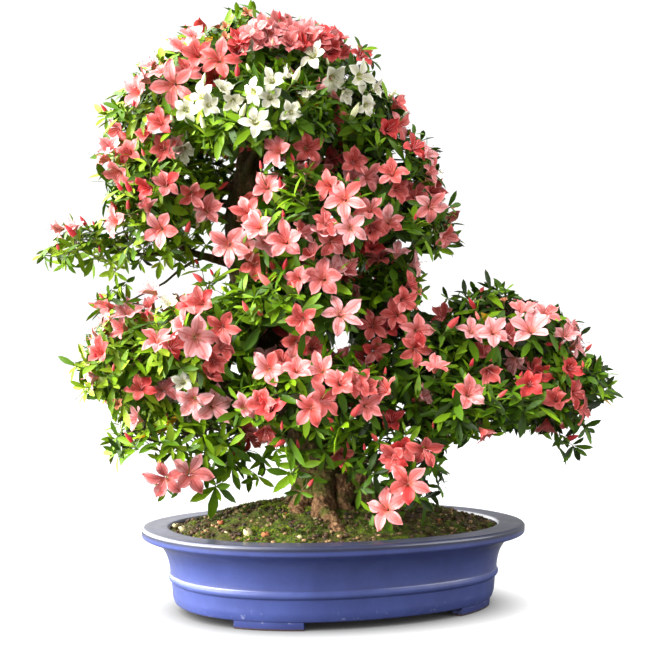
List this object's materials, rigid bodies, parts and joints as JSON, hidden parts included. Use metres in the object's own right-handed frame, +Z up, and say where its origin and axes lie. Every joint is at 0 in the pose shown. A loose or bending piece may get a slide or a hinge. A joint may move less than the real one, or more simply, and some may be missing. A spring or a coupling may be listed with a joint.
{
  "type": "azalea bonsai",
  "caption": "Flowering satsuki azalea bonsai with a leaning trunk and tiered pads of leaves and blossom, in an oval blue glazed pot on low feet.",
  "frame": {"origin": "middle of the whole plant's footprint, at the height of the table that the pot stands on", "axes": "+Z up; the pot's long side lies along X; the plant's front, from which the picture is taken, faces -Y turned about 25 degrees towards -X"},
  "size_m": [0.5836, 0.4012, 0.6193],
  "materials": {
    "blue_glaze": "gloss",
    "moss_and_soil": "matte",
    "trunk_bark": "matte",
    "bough_bark": "matte",
    "foliage": "satin",
    "pink_petals": "satin",
    "white_petals": "satin"
  },
  "bodies": {
    "root": {"bough_back_middle": "bough_bark", "bough_centre_back": "bough_bark", "bough_centre_front": "bough_bark", "bough_centre_right": "bough_bark", "bough_crown_back": "bough_bark", "bough_crown_front": "bough_bark", "bough_crown_left": "bough_bark", "bough_crown_right": "bough_bark", "bough_front_foot": "bough_bark", "bough_front_low": "bough_bark", "bough_front_middle": "bough_bark", "bough_left_back": "bough_bark", "bough_left_hanging": "bough_bark", "bough_left_long": "bough_bark", "bough_left_tip": "bough_bark", "bough_left_upper": "bough_bark", "bough_low_left_back": "bough_bark", "bough_low_left_tip": "bough_bark", "bough_low_left_top": "bough_bark", "bough_low_left_under": "bough_bark", "bough_right_back": "bough_bark", "bough_right_front": "bough_bark", "bough_right_inner": "bough_bark", "bough_right_middle": "bough_bark", "bough_right_tip": "bough_bark", "bough_right_top": "bough_bark", "bough_right_upper": "bough_bark", "foliage_back_middle": "foliage", "foliage_centre_back": "foliage", "foliage_centre_front": "foliage", "foliage_centre_right": "foliage", "foliage_crown_apex": "foliage", "foliage_crown_back": "foliage", "foliage_crown_front": "foliage", "foliage_crown_left": "foliage", "foliage_crown_right": "foliage", "foliage_front_foot": "foliage", "foliage_front_low": "foliage", "foliage_front_middle": "foliage", "foliage_left_back": "foliage", "foliage_left_hanging": "foliage", "foliage_left_long": "foliage", "foliage_left_tip": "foliage", "foliage_left_upper": "foliage", "foliage_low_left_back": "foliage", "foliage_low_left_tip": "foliage", "foliage_low_left_top": "foliage", "foliage_low_left_under": "foliage", "foliage_right_back": "foliage", "foliage_right_front": "foliage", "foliage_right_inner": "foliage", "foliage_right_middle": "foliage", "foliage_right_tip": "foliage", "foliage_right_top": "foliage", "foliage_right_upper": "foliage", "pot": "blue_glaze", "soil": "moss_and_soil", "trunk": "trunk_bark"}
  },
  "joints": []
}
